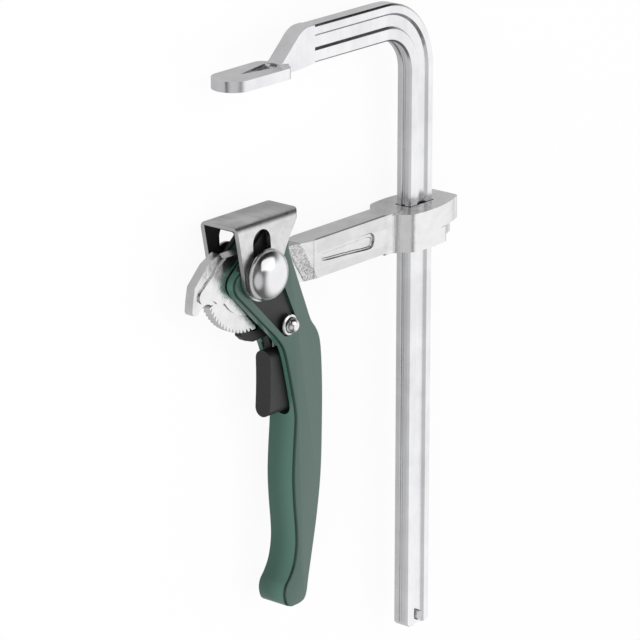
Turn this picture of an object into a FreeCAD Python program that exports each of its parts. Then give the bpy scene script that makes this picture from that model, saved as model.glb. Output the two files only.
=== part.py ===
import FreeCAD, Part
import Sketcher
import os
import re

# One-handed lever bar clamp, lying on its side, in millimetres.
# The clamp is drawn in its own frame: x runs from the throat towards the back of the bar,
# y runs up the bar and z across it, with z = 0 in the middle of the bar's thickness.
# y = 0 is the top of the sliding arm's collar where the photograph shows it.
# The head pieces are drawn about the lever pivot, and every piece is then moved by the same step,
# which puts the middle of the outline's footprint at the origin and its lowest point on z = 0.

V = FreeCAD.Vector
doc = FreeCAD.newDocument("BarClamp")

# Driving sizes
SIZES = [
    # bar
    ("bar_width", "13.5"),
    ("bar_thickness", "6.5"),
    ("bar_edge", "0.7"),
    ("bar_foot", "164.5"),
    ("foot_chamfer", "2"),
    ("jaw_rise", "64"),
    ("bend_inner", "13.5"),
    ("groove_from", "4.4"),
    ("groove_wide", "5.8"),
    ("groove_slope", "0.9"),
    ("groove_depth", "0.9"),
    ("throat_groove", "1.8"),
    ("throat_groove_depth", "0.5"),
    # fixed jaw
    ("reach", "94"),
    ("jaw_front", "13"),
    ("jaw_back", "17.5"),
    ("jaw_half", "7.8"),
    ("jaw_thickness", "3.9"),
    ("jaw_drop", "1.4"),
    ("neck_root", "34"),
    ("jaw_recess", "0.9"),
    # stop pin
    ("stop_diameter", "4"),
    ("stop_rise", "3.6"),
    ("stop_proud", "0.6"),
    # sliding arm
    ("bar_gap", "0.3"),
    ("collar_front", "15.8"),
    ("collar_back", "17.6"),
    ("collar_half", "11.1"),
    ("collar_height", "14.2"),
    ("upper_tier", "8.2"),
    ("lower_tier", "12.8"),
    ("tier_step", "3"),
    ("arm_half", "5"),
    ("arm_top", "0.6"),
    ("arm_bottom", "13.5"),
    ("arm_recess", "0.7"),
    ("shoulder", "28"),
    ("tongue_half", "2.5"),
    ("pivot_drop", "3.2"),
    # toothed segment
    ("tooth_radius", "22.4"),
    ("tooth_depth", "1.3"),
    ("tooth_pitch", "5"),
    ("tooth_count", "14"),
    ("tooth_from", "206"),
    ("rim_half", "1.8"),
    # pivot
    ("sleeve_diameter", "7"),
    ("shank_diameter", "5"),
    ("fit", "0.05"),
    ("washer_radius", "8"),
    ("washer_thickness", "1"),
    ("side_play", "0.15"),
    ("dome_radius", "9.35"),
    ("dome_rim", "0.6"),
    ("dome_height", "5.6"),
    ("far_head_radius", "7"),
    ("far_head_height", "2.4"),
    # bracket
    ("sheet_thickness", "1.8"),
    ("sheet_bend", "3"),
    ("bracket_half", "8.6"),
    ("bracket_front", "13.4"),
    ("bracket_back", "20"),
    ("bracket_top", "19.2"),
    ("lobe_radius", "9.8"),
    ("slot_radius", "4.8"),
    ("slot_top_radius", "4.6"),
    ("slot_length", "11.5"),
    ("slot_lean", "0.8"),
    # lever
    ("lever_half", "6.5"),
    ("cheek_inner", "2.9"),
    ("open_angle", "40"),
    ("lift", "9"),
    ("cam_gap", "0.3"),
    ("cheek_drop", "2"),
    ("grip_length", "130"),
    ("grip_bevel", "1"),
    ("pocket_half", "3.8"),
    ("pocket_floor", "31.1"),
    ("channel_half", "4"),
    ("channel_floor", "23.4"),
    ("channel_top", "62.8"),
    ("channel_end", "15.6"),
    ("rib", "2"),
    # cam plates
    ("plate_floor", "3.9"),
    ("plate_thickness", "1.6"),
    ("plate_gap", "0.1"),
    ("plate_waist", "9.2"),
    ("plate_end", "4.2"),
    ("plate_back", "13.4"),
    # pawl and trigger
    ("pin_right", "15.7"),
    ("pin_down", "22.8"),
    ("pin_diameter", "4"),
    ("pin_head_radius", "3.85"),
    ("pin_head_height", "3.9"),
    ("pawl_low", "2.7"),
    ("pawl_thickness", "3"),
    ("pawl_clear", "0.3"),
    ("hub_radius", "3.2"),
    ("tail_width", "4"),
    ("tail_end", "50"),
    ("button_half", "3.4"),
    ("button_front", "8.9"),
    ("button_top", "32.2"),
    ("button_bottom", "56.8"),
    ("wire", "0.8"),
    ("coil_radius", "2.9"),
    ("coil_pitch", "0.9"),
    ("coil_turns", "1.25"),
    ("spring_leg", "7.5"),
]

# Sizes worked out from them
DERIVED = [
    ("bar_half", "bar_width / 2"),
    ("bar_flat", "bar_thickness / 2"),
    ("jaw_floor", "jaw_rise - jaw_drop"),
    ("bracket_inner", "bracket_half - sheet_thickness"),
    ("plate_under", "bracket_top - sheet_thickness"),
    ("head_seat", "bracket_half + 2 * side_play + washer_thickness"),
    ("cam_top", "plate_under - cam_gap"),
    ("cam_rate", "lift / (open_angle * pi / 180)"),
    ("cam_end", "90 + open_angle"),
    ("cam_low", "cam_top - lift"),
    ("dome_rise", "dome_height - dome_rim"),
    ("dome_sphere", "(dome_radius * dome_radius + dome_rise * dome_rise) / 2 / dome_rise"),
    ("dome_centre", "head_seat + dome_height - dome_sphere"),
    ("pin_reach", "sqrt(pin_right * pin_right + pin_down * pin_down)"),
    ("pin_angle", "acos(pin_right / pin_reach) / 1deg"),
    ("plate_spread", "acos((plate_waist - plate_end) / pin_reach) / 1deg"),
    ("plate_seat", "acos(cam_low / plate_waist) / 1deg"),
    ("rib_pitch", "(grip_length - channel_top - channel_end) / 3"),
    ("tooth_root", "tooth_radius - tooth_depth"),
    ("pawl_radius", "tooth_radius + pawl_clear"),
    ("nose_reach", "29.3"),
    ("shift_right", "(reach + nose_reach - collar_back) / 2"),
    ("shift_up", "(bar_foot - jaw_rise - bar_width) / 2"),
    ("mid_height", "head_seat + far_head_height"),
]

NAMES = {name for name, _ in SIZES + DERIVED}


def on_sheet(formula):
    """The formula with each size name read from the sheet."""
    return re.sub(r"[a-z_]+", lambda word: "Sizes." + word[0] if word[0] in NAMES else word[0], formula)


sheet = doc.addObject("Spreadsheet::Sheet", "Sizes")
for row, (name, size) in enumerate(SIZES, 1):
    sheet.set(f"A{row}", name)
    sheet.set(f"B{row}", size)
    sheet.setAlias(f"B{row}", name)
for row, (name, formula) in enumerate(DERIVED, len(SIZES) + 1):
    sheet.set(f"A{row}", name)
    sheet.set(f"B{row}", "=" + formula)
    sheet.setAlias(f"B{row}", name)
doc.recompute()


def value(formula):
    """What a formula on the sheet comes to, as a number."""
    result = sheet.evalExpression(on_sheet(formula))
    return float(getattr(result, "Value", result))


def bind(feature, field, formula):
    """Tie one field of a feature to the sheet."""
    feature.setExpression(field, on_sheet(formula))


# Drawing helpers

def new_body(label, right="0", up="0"):
    """A body whose own origin lies at (right, up) in the clamp's frame."""
    body = doc.addObject("PartDesign::Body", label)
    body.Label = label
    bind(body, "Placement.Base.x", f"shift_right + {right}")
    bind(body, "Placement.Base.y", f"shift_up + {up}")
    bind(body, "Placement.Base.z", "mid_height")
    return body


def head_body(label):
    """A body drawn about the lever pivot."""
    return new_body(label, "-1 * reach", "-1 * pivot_drop")


def new_sketch(body, plane, level="0", at=("0", "0")):
    """An empty sketch on one of the body's planes, moved by level along the third axis."""
    side = "-1 * " if plane == "XZ" else ""
    sketch = body.newObject("Sketcher::SketchObject", body.Name + "_sketch")
    support = [item for item in body.Origin.OriginFeatures if item.Role == plane + "_Plane"]
    sketch.AttachmentSupport = [(support[0], "")]
    sketch.MapMode = "FlatFace"
    bind(sketch, "AttachmentOffset.Base.x", at[0])
    bind(sketch, "AttachmentOffset.Base.y", at[1])
    bind(sketch, "AttachmentOffset.Base.z", f"{side}({level})")
    return sketch


def pin_point(sketch, geometry, end, corner):
    """Tie one point of the sketch to a pair of formulas."""
    for kind, formula in zip(("DistanceX", "DistanceY"), corner):
        index = sketch.addConstraint(Sketcher.Constraint(kind, -1, 1, geometry, end, value(formula)))
        bind(sketch, f"Constraints[{index}]", formula)


def vector(corner):
    return V(value(corner[0]), value(corner[1]), 0)


def add_outline(sketch, start, *steps, closed=True):
    """Lines and arcs from corner to corner; a step of four formulas is an arc
    that passes its first two on the way to the corner in its last two."""
    steps = list(steps)
    if closed and steps[-1][-2:] != start:
        steps.append(start)
    edges = []
    here = start
    for step in steps:
        there = step[-2:]
        ends = [vector(here), vector(there)]
        first, last = 1, 2
        if len(step) == 4:
            middle = vector(step[:2])
            if (middle - ends[0]).cross(ends[1] - middle).z < 0:
                first, last = 2, 1
            shape = Part.Arc(ends[first - 1], middle, ends[last - 1])
        else:
            shape = Part.LineSegment(*ends)
        index = sketch.addGeometry(shape, False)
        pin_point(sketch, index, first, here)
        if len(step) == 4:
            through = sketch.addGeometry(Part.Point(middle), True)
            pin_point(sketch, through, 1, step[:2])
            sketch.addConstraint(Sketcher.Constraint("PointOnObject", through, 1, index))
        if edges:
            sketch.addConstraint(Sketcher.Constraint("Coincident", edges[-1][0], edges[-1][2], index, first))
        edges.append((index, first, last))
        here = there
    if closed:
        sketch.addConstraint(
            Sketcher.Constraint("Coincident", edges[-1][0], edges[-1][2], edges[0][0], edges[0][1]))
    else:
        pin_point(sketch, edges[-1][0], edges[-1][2], here)
    return sketch


def add_circle(sketch, centre, radius):
    index = sketch.addGeometry(Part.Circle(vector(centre), V(0, 0, 1), value(radius)), False)
    pin_point(sketch, index, 3, centre)
    bound = sketch.addConstraint(Sketcher.Constraint("Radius", index, value(radius)))
    bind(sketch, f"Constraints[{bound}]", radius)
    return sketch


def add_box(sketch, low, high):
    """A rectangle between two corners."""
    return add_outline(sketch, low, (high[0], low[1]), high, (low[0], high[1]))


def feature(body, kind, sketch, length=None, both=True, reverse=False):
    """A pad or pocket of a sketch; both means half to each side, no length means right through."""
    made = body.newObject("PartDesign::" + kind, body.Name + "_" + kind.lower())
    made.Profile = sketch
    made.SideType = "Symmetric" if both else "One side"
    made.Reversed = reverse
    if length is None:
        made.Type = "ThroughAll"
    else:
        bind(made, "Length", length)
    doc.recompute()
    sketch.Visibility = False
    return made


def pad(body, sketch, length, both=True, reverse=False):
    return feature(body, "Pad", sketch, length, both, reverse)


def pocket(body, sketch, length=None, both=True, reverse=False):
    return feature(body, "Pocket", sketch, length, both, reverse)


def mirror(body, original, plane="XY"):
    """The same cut on the other side of one of the body's planes."""
    made = body.newObject("PartDesign::Mirrored", body.Name + "_mirror")
    support = [item for item in body.Origin.OriginFeatures if item.Role == plane + "_Plane"]
    made.Originals = [original]
    made.MirrorPlane = (support[0], [""])
    body.Tip = made
    doc.recompute()
    return made


def spin(body, sketch):
    """Turn a half profile on the XZ plane about the body's z axis."""
    made = body.newObject("PartDesign::Revolution", body.Name + "_spin")
    made.Profile = sketch
    made.ReferenceAxis = (sketch, ["V_Axis"])
    made.Angle = 360
    doc.recompute()
    return made


def bevel_edges(body, size, wanted):
    """Chamfer the edges of the body's last shape that the test picks."""
    base = body.Tip
    names = [f"Edge{n}" for n, edge in enumerate(base.Shape.Edges, 1) if wanted(edge)]
    made = body.newObject("PartDesign::Chamfer", body.Name + "_bevel")
    made.Base = (base, names)
    bind(made, "Size", size)
    doc.recompute()
    return made


def mirrored(points):
    """The corners again in reverse order with the second formula's sign turned."""
    back = []
    for point in reversed(points):
        back.append(tuple(f"-1 * ({item})" if n % 2 else item for n, item in enumerate(point)))
    return back


# Bar

def make_bar():
    """L bar with its bend and the flattened fixed jaw, forged in one piece."""
    body = new_body("bar")
    tip = "-1 * reach - jaw_front"
    back = "-1 * reach + jaw_back"
    root = "-1 * reach + neck_root"
    crown = "jaw_rise + bar_width"
    neck = new_sketch(body, "XY")
    add_outline(
        neck,
        (root, "jaw_rise"),
        (f"{back} + 9", "jaw_rise - 0.7"),
        (f"{back} + 1.6", "jaw_rise - 0.9"),
        (f"{back} - 1", "jaw_floor"),
        (f"{back} - 2.4", "jaw_floor"),
        (f"{back} - 2.4", "jaw_floor + jaw_thickness"),
        (f"{back} - 0.4", "jaw_floor + jaw_thickness + 1.1"),
        (f"{back} + 7.8", "jaw_rise + 11.2"),
        (f"{back} + 10.4", f"{crown} - 0.7", f"{back} + 14.5", crown),
        (root, crown),
    )
    pad(body, neck, "bar_thickness")
    plan = new_sketch(body, "XZ", "jaw_floor")
    corner = (f"{tip} + 6.4", "-1 * jaw_half + 0.3")
    side = [
        corner,
        (f"{back} - 3.4", "-1 * jaw_half"),
        (f"{back} - 0.7", "-0.88 * jaw_half", f"{back} + 0.6", "-0.62 * jaw_half"),
        (f"{back} + 2.6", "-1 * bar_flat"),
    ]
    add_outline(plan, *closed_mirror(side), (tip, "0", *corner))
    pad(body, plan, "jaw_thickness", both=False, reverse=True)
    mark = new_sketch(body, "XZ", "jaw_floor + jaw_thickness - jaw_recess")
    add_outline(
        mark,
        (f"{tip} + 12.5", "-0.35"),
        (f"{back} - 3", "-2.6"),
        (f"{back} - 1.6", "-1.5"),
        (f"{back} - 1.6", "1.5"),
        (f"{back} - 3", "2.6"),
        (f"{tip} + 12.5", "0.35"),
        (f"{tip} + 12", "0", f"{tip} + 12.5", "-0.35"),
    )
    pocket(body, mark, "jaw_recess + 1", both=False)

    section = new_sketch(body, "XZ", "-1 * bar_foot")
    groove_end = "groove_from + groove_wide"
    flank = [
        ("-1 * bar_half", "throat_groove / 2"),
        ("-1 * bar_half", "bar_flat - bar_edge"),
        ("-1 * bar_half + bar_edge", "bar_flat"),
        ("-1 * bar_half + groove_from", "bar_flat"),
        ("-1 * bar_half + groove_from + groove_slope", "bar_flat - groove_depth"),
        (f"-1 * bar_half + {groove_end} - groove_slope", "bar_flat - groove_depth"),
        (f"-1 * bar_half + {groove_end}", "bar_flat"),
        ("bar_half - bar_edge", "bar_flat"),
        ("bar_half", "bar_flat - bar_edge"),
    ]
    hollow = ("-1 * bar_half + throat_groove_depth", "0")
    add_outline(section, *flank, *mirrored(flank), (*hollow, *flank[0]))
    path = new_sketch(body, "XY")
    middle = "bend_inner + bar_half"
    add_outline(
        path,
        ("0", "-1 * bar_foot"),
        ("0", "jaw_rise - bend_inner"),
        (f"-1 * ({middle}) * (1 - cos(45))", f"jaw_rise - bend_inner + ({middle}) * sin(45)",
         f"-1 * ({middle})", "jaw_rise + bar_half"),
        (f"{root} - 2", "jaw_rise + bar_half"),
        closed=False,
    )
    sweep = body.newObject("PartDesign::AdditivePipe", "bar_sweep")
    sweep.Profile = section
    sweep.Spine = path
    sweep.Mode = "Standard"
    doc.recompute()

    foot = new_sketch(body, "XY")
    for side_sign in ("-1", "1"):
        edge = f"{side_sign} * bar_half"
        add_outline(
            foot,
            (edge, "-1 * bar_foot + foot_chamfer"),
            (f"{edge} - {side_sign} * foot_chamfer", "-1 * bar_foot"),
            (f"{edge} - {side_sign} * foot_chamfer", "-1 * bar_foot - 1"),
            (f"{edge} + {side_sign}", "-1 * bar_foot - 1"),
            (f"{edge} + {side_sign}", "-1 * bar_foot + foot_chamfer"),
        )
    pocket(body, foot)
    hole = add_circle(new_sketch(body, "XY"), ("0", "-1 * bar_foot + stop_rise"), "stop_diameter / 2")
    pocket(body, hole)
    return body


def make_stop_pin():
    """Pin through the bar's lower end that keeps the sliding arm on."""
    body = new_body("stop_pin", "0", "-1 * bar_foot + stop_rise")
    disc = add_circle(new_sketch(body, "XY"), ("0", "0"), "stop_diameter / 2")
    pad(body, disc, "bar_thickness + 2 * stop_proud")
    bevel_edges(body, "stop_proud * 0.7", lambda edge: isinstance(edge.Curve, Part.Circle))
    return body


# Sliding arm

def collar_outline(back, half):
    """Outline of the collar seen along the bar, blended into the arm on its throat side."""
    side = [
        ("-1 * collar_front - 7", "-1 * arm_half"),
        ("-1 * collar_front - 1.8", "-1 * arm_half - 0.9", "-1 * collar_front + 0.6", "-1 * arm_half - 3"),
        ("-1 * collar_front + 2", f"-1 * ({half}) + 1.5", "-1 * collar_front + 4.8", f"-1 * ({half}) + 0.5"),
        ("-0.22 * collar_front", f"-1 * ({half})", f"{back} - 2.6", f"-1 * ({half}) + 3.7"),
        (f"{back} - 0.8", f"-1 * ({half}) + 4.6", back, f"-1 * ({half}) + 6.2"),
    ]
    return side


def closed_mirror(side):
    """A whole outline from the half below the x axis, given corner by corner."""
    corners = [step[-2:] for step in side]
    steps = list(side)
    for index in range(len(side) - 1, -1, -1):
        corner = (corners[index][0], f"-1 * ({corners[index][1]})")
        if index == len(side) - 1:
            steps.append(corner)
            continue
        following = side[index + 1]
        if len(following) == 4:
            steps.append((following[0], f"-1 * ({following[1]})", *corner))
        else:
            steps.append(corner)
    return steps


def make_sliding_arm():
    """Forging: collar round the bar, arm, tongue between the lever's cheeks, toothed segment and nose."""
    body = new_body("sliding_arm")
    pivot = ("-1 * reach", "-1 * pivot_drop")

    upper = add_outline(new_sketch(body, "XZ"), *closed_mirror(collar_outline("collar_back", "collar_half")))
    pad(body, upper, "upper_tier", both=False)
    lower = new_sketch(body, "XZ", "-1 * upper_tier")
    add_outline(lower, *closed_mirror(collar_outline("(collar_back - tier_step)", "collar_half - 0.9")))
    pad(body, lower, "lower_tier - upper_tier", both=False)
    skirt = new_sketch(body, "XZ", "-1 * upper_tier")
    skirt_side = collar_outline("collar_back", "collar_half")[:3]
    skirt_side.append(("-0.22 * collar_front", "-1 * collar_half", "2.5", "-1 * collar_half + 0.35"))
    skirt_side.append(("6", "-1 * collar_half + 1", "7.6", "-1 * collar_half + 3.2"))
    add_outline(skirt, *closed_mirror(skirt_side))
    pad(body, skirt, "collar_height - upper_tier", both=False)

    arm = new_sketch(body, "XY")
    add_box(arm, ("-1 * reach + shoulder + 3.4", "-1 * arm_bottom"), ("-1 * collar_front + 3", "arm_top"))
    pad(body, arm, "2 * arm_half")
    facets = [
        ("-1 * reach + shoulder + 4", "-1 * arm_half"),
        ("-1 * reach + shoulder", "-1 * arm_half + 0.7"),
        ("-1 * reach + shoulder - 5.6", "-1 * tongue_half"),
        ("-1 * reach + shoulder - 12", "-1 * tongue_half"),
    ]
    shoulder = new_sketch(body, "XZ", "arm_top")
    add_outline(shoulder, *closed_mirror(facets))
    pad(body, shoulder, "arm_top + arm_bottom", both=False)

    tongue = new_sketch(body, "XY", at=pivot)
    web_radius = "(tooth_radius - 6.4)"
    add_outline(
        tongue,
        ("shoulder - 8", "arm_top + pivot_drop"),
        ("shoulder - 13", "arm_top + pivot_drop"),
        ("8", "plate_under - lift - 1"),
        ("-1 * bracket_front + 1.3", "plate_under - lift - 1"),
        ("-18.2", "3.3"),
        ("-25.2", "-2"),
        ("-26", "-5.2", "-23.6", "-6.7"),
        ("-20.2", "-6.2", "-17.2", "-8.2"),
        (f"{web_radius} * cos(214)", f"{web_radius} * sin(214)"),
        (f"{web_radius} * cos(257)", f"{web_radius} * sin(257)",
         f"{web_radius} * cos(300)", f"{web_radius} * sin(300)"),
        ("shoulder - 12", "-1 * arm_bottom + pivot_drop"),
        ("shoulder - 8", "-1 * arm_bottom + pivot_drop"),
    )
    pad(body, tongue, "2 * tongue_half")
    nose = new_sketch(body, "XY", at=pivot)
    add_outline(
        nose,
        ("0", "plate_under - lift - 1"),
        ("-1 * bracket_front - 0.3", "plate_under - lift - 1"),
        ("-1 * bracket_front - 1.8", "9.3"),
        ("-21.3", "6.4"),
        ("-27.9", "0"),
        ("-1 * nose_reach + 0.5", "-4.4"),
        ("-1 * nose_reach", "-8.6"),
        ("-1 * nose_reach + 0.9", "-9.9", "-26.5", "-9.8"),
        ("-24.8", "-8.4"),
        ("-22.4", "-7.3", "-19.6", "-8.2"),
        ("0", "-8"),
    )
    pad(body, nose, "2 * rim_half")

    rim = new_sketch(body, "XY", at=pivot)
    rim_start = "tooth_from - 2"
    rim_stop = "tooth_from + tooth_pitch * tooth_count + 3"
    rim_middle = "tooth_from + tooth_pitch * tooth_count / 2"
    add_outline(
        rim,
        ("0", "0"),
        (f"tooth_radius * cos({rim_start})", f"tooth_radius * sin({rim_start})"),
        (f"tooth_radius * cos({rim_middle})", f"tooth_radius * sin({rim_middle})",
         f"tooth_radius * cos({rim_stop})", f"tooth_radius * sin({rim_stop})"),
    )
    pad(body, rim, "2 * rim_half")
    notch = new_sketch(body, "XY", at=pivot)
    outside = "(tooth_radius + 0.4)"
    gentle = "(tooth_from + tooth_pitch - 0.9)"
    add_outline(
        notch,
        ("tooth_root * cos(tooth_from)", "tooth_root * sin(tooth_from)"),
        (f"{outside} * cos(tooth_from)", f"{outside} * sin(tooth_from)"),
        (f"{outside} * cos({gentle})", f"{outside} * sin({gentle})"),
    )
    cut = pocket(body, notch)
    ring = body.newObject("PartDesign::PolarPattern", "tooth_pattern")
    ring.Originals = [cut]
    ring.Axis = (notch, ["N_Axis"])
    bind(ring, "Angle", "tooth_pitch * (tooth_count - 1)")
    bind(ring, "Occurrences", "tooth_count")
    body.Tip = ring
    doc.recompute()

    slot = new_sketch(body, "XZ")
    add_box(slot, ("-1 * bar_half - bar_gap", "-1 * bar_flat - bar_gap"),
            ("bar_half + bar_gap", "bar_flat + bar_gap"))
    pocket(body, slot)
    bore = add_circle(new_sketch(body, "XY", at=pivot), ("0", "0"), "sleeve_diameter / 2 + fit")
    pocket(body, bore)
    panel = new_sketch(body, "XY", "arm_half - arm_recess")
    left = "(-1 * reach + shoulder + 9)"
    right = "(-1 * collar_front - 16)"
    add_outline(
        panel,
        (left, "-4.6"),
        (f"{left} - 1.6", "-6.2", left, "-7.8"),
        (right, "-9.4"),
        (f"{right} + 2.8", "-6.5", right, "-3.6"),
        (left, "-4.6"),
    )
    recess = pocket(body, panel, "arm_recess + 1", both=False, reverse=True)
    mirror(body, recess)
    return body


# Pivot

def make_pivot_sleeve():
    """Spacer sleeve that the lever turns on and the rivet closes."""
    body = head_body("pivot_sleeve")
    tube = new_sketch(body, "XY")
    add_circle(tube, ("0", "0"), "sleeve_diameter / 2")
    add_circle(tube, ("0", "0"), "shank_diameter / 2 + fit")
    pad(body, tube, "2 * head_seat")
    return body


def make_pivot_rivet():
    """Rivet with a tall domed head on the near side and a low one on the far side."""
    body = head_body("pivot_rivet")
    half = new_sketch(body, "XZ")

    def on_dome(share):
        """Point of the dome's profile at a share of its radius."""
        offset = f"({share} * dome_radius)"
        return (offset, f"dome_centre + sqrt(dome_sphere * dome_sphere - {offset} * {offset})")

    add_outline(
        half,
        ("0", "-1 * head_seat - far_head_height"),
        ("far_head_radius * 0.55", "-1 * head_seat - far_head_height"),
        ("far_head_radius * 0.86", "-1 * head_seat - far_head_height * 0.66"),
        ("far_head_radius", "-1 * head_seat - dome_rim"),
        ("far_head_radius", "-1 * head_seat"),
        ("shank_diameter / 2", "-1 * head_seat"),
        ("shank_diameter / 2", "head_seat"),
        ("dome_radius", "head_seat"),
        *[on_dome(share) for share in ("1", "0.92", "0.8", "0.64", "0.44", "0.2")],
        ("0", on_dome("0.2")[1]),
    )
    spin(body, half)
    return body


def make_pivot_washer(label, side):
    """Washer between a rivet head and the bracket wall."""
    body = head_body(label)
    level = "bracket_half + side_play" if side > 0 else "-1 * bracket_half - side_play - washer_thickness"
    disc = new_sketch(body, "XY", level)
    add_circle(disc, ("0", "0"), "washer_radius")
    add_circle(disc, ("0", "0"), "sleeve_diameter / 2 + fit")
    pad(body, disc, "washer_thickness", both=False)
    return body


# Pressure bracket

def make_pressure_bracket():
    """U of sheet steel that the cam plates lift; its walls hang on the pivot by their slots."""
    body = head_body("pressure_bracket")
    skirt = "-1 * lobe_radius - 2"
    low_bend = "(plate_under - sheet_bend + sheet_thickness)"
    knee = "sheet_bend * (1 - cos(45))"
    fold = "(sheet_bend - sheet_thickness) * (1 - cos(45))"
    channel = new_sketch(body, "YZ", "-1 * bracket_front")
    add_outline(
        channel,
        (skirt, "-1 * bracket_half"),
        ("bracket_top - sheet_bend", "-1 * bracket_half"),
        (f"bracket_top - {knee}", f"-1 * bracket_half + {knee}",
         "bracket_top", "-1 * bracket_half + sheet_bend"),
        ("bracket_top", "bracket_half - sheet_bend"),
        (f"bracket_top - {knee}", f"bracket_half - {knee}", "bracket_top - sheet_bend", "bracket_half"),
        (skirt, "bracket_half"),
        (skirt, "bracket_inner"),
        (low_bend, "bracket_inner"),
        (f"plate_under - {fold}", f"bracket_inner - {fold}", "plate_under",
         "bracket_inner - sheet_bend + sheet_thickness"),
        ("plate_under", "-1 * bracket_inner + sheet_bend - sheet_thickness"),
        (f"plate_under - {fold}", f"-1 * bracket_inner + {fold}", low_bend, "-1 * bracket_inner"),
        (skirt, "-1 * bracket_inner"),
    )
    pad(body, channel, "bracket_front + bracket_back + 1", both=False)
    wall = new_sketch(body, "XY")
    add_box(wall, ("-1 * bracket_front - 3", "-1 * lobe_radius - 4"), ("bracket_back + 3", "bracket_top + 3"))
    add_outline(
        wall,
        ("-1 * bracket_front", "bracket_top + 1"),
        ("-1 * bracket_front", "bracket_top - 0.8"),
        ("-1 * lobe_radius * cos(6)", "lobe_radius * sin(6)"),
        ("0", "-1 * lobe_radius", "lobe_radius * cos(6)", "lobe_radius * sin(6)"),
        ("lobe_radius + 4", "9.8", "bracket_back - 1.8", "bracket_top - 3.2"),
        ("bracket_back - 0.2", "bracket_top - 1.8", "bracket_back + 0.5", "bracket_top - 0.2"),
        ("bracket_back + 0.5", "bracket_top + 1"),
    )
    pocket(body, wall)
    slot = new_sketch(body, "XY")
    add_outline(
        slot,
        ("-1 * slot_radius", "0"),
        ("0", "-1 * slot_radius", "slot_radius", "0"),
        ("slot_top_radius - slot_lean", "slot_length"),
        ("-1 * slot_lean", "slot_length + slot_top_radius",
         "-1 * slot_top_radius - slot_lean", "slot_length"),
    )
    pocket(body, slot)
    plan = new_sketch(body, "XZ")
    add_box(plan, ("-1 * bracket_front - 3", "-1 * bracket_half - 3"),
            ("bracket_back + 3", "bracket_half + 3"))
    bend = "3.6 * (1 - cos(45))"
    side = [
        ("-1 * bracket_front - 1", "-1 * bracket_half - 1"),
        ("bracket_back - 3.6", "-1 * bracket_half - 1"),
        ("bracket_back - 3.6", "-1 * bracket_half"),
        (f"bracket_back - {bend}", f"-1 * bracket_half + {bend}", "bracket_back", "-1 * bracket_half + 3.6"),
    ]
    add_outline(plan, *closed_mirror(side))
    pocket(body, plan)
    return body


# Cam plates

def cam_point(angle, drop="0"):
    """A point of the cam, an involute: a flat follower above it rises in step with the lever.

    The height over the pivot in direction angle falls by cam_rate for each radian past
    the closed position, and the contact stays cam_rate to one side of the pivot."""
    height = f"(cam_top - ({drop}) - cam_rate * ({angle} - 90) * pi / 180)"
    return (f"{height} * cos({angle}) + cam_rate * sin({angle})",
            f"{height} * sin({angle}) - cam_rate * cos({angle})")


def plate_outline(grow="0"):
    """Tapered link from the pivot to the pawl pin with the cam on top, grown by a margin."""
    waist = f"(plate_waist + {grow})"
    end = f"(plate_end + {grow})"
    left = "(-1 * pin_angle - plate_spread)"
    right = "(-1 * pin_angle + plate_spread)"
    seat = "(cam_end + plate_seat)"
    drop = f"-1 * ({grow})"

    def by_pin(angle):
        return (f"pin_right + {end} * cos({angle})", f"-1 * pin_down + {end} * sin({angle})")

    return [
        (f"{waist} * cos({left})", f"{waist} * sin({left})"),
        by_pin(left),
        (*by_pin("-1 * pin_angle"), *by_pin(right)),
        (f"plate_back + {grow}", "-8"),
        (f"plate_back + {grow}", "4"),
        (f"plate_back + 1 + {grow}", "8.2", f"cam_rate + 3.9 + {grow}", "cam_top - 5.4"),
        (f"cam_rate + 3 + {grow}", f"cam_top - 1.5 + {grow}", *cam_point("90", drop)),
        (*cam_point("(90 + open_angle / 4)", drop), *cam_point("(90 + open_angle / 2)", drop)),
        (*cam_point("(90 + open_angle * 3 / 4)", drop), *cam_point("cam_end", drop)),
        (f"{waist} * cos({seat})", f"{waist} * sin({seat})"),
        (f"{waist} * cos(193)", f"{waist} * sin(193)", f"{waist} * cos({left})", f"{waist} * sin({left})"),
    ]


def make_cam_plate(label, side):
    """Hardened plate let into a cheek, held by the pivot sleeve and the pawl pin."""
    body = head_body(label)
    level = "plate_floor" if side > 0 else "-1 * plate_floor - plate_thickness"
    plate = new_sketch(body, "XY", level)
    add_outline(plate, *plate_outline())
    add_circle(plate, ("0", "0"), "sleeve_diameter / 2 + fit")
    add_circle(plate, ("pin_right", "-1 * pin_down"), "pin_diameter / 2 + fit")
    pad(body, plate, "plate_thickness", both=False)
    return body


# Lever

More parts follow.
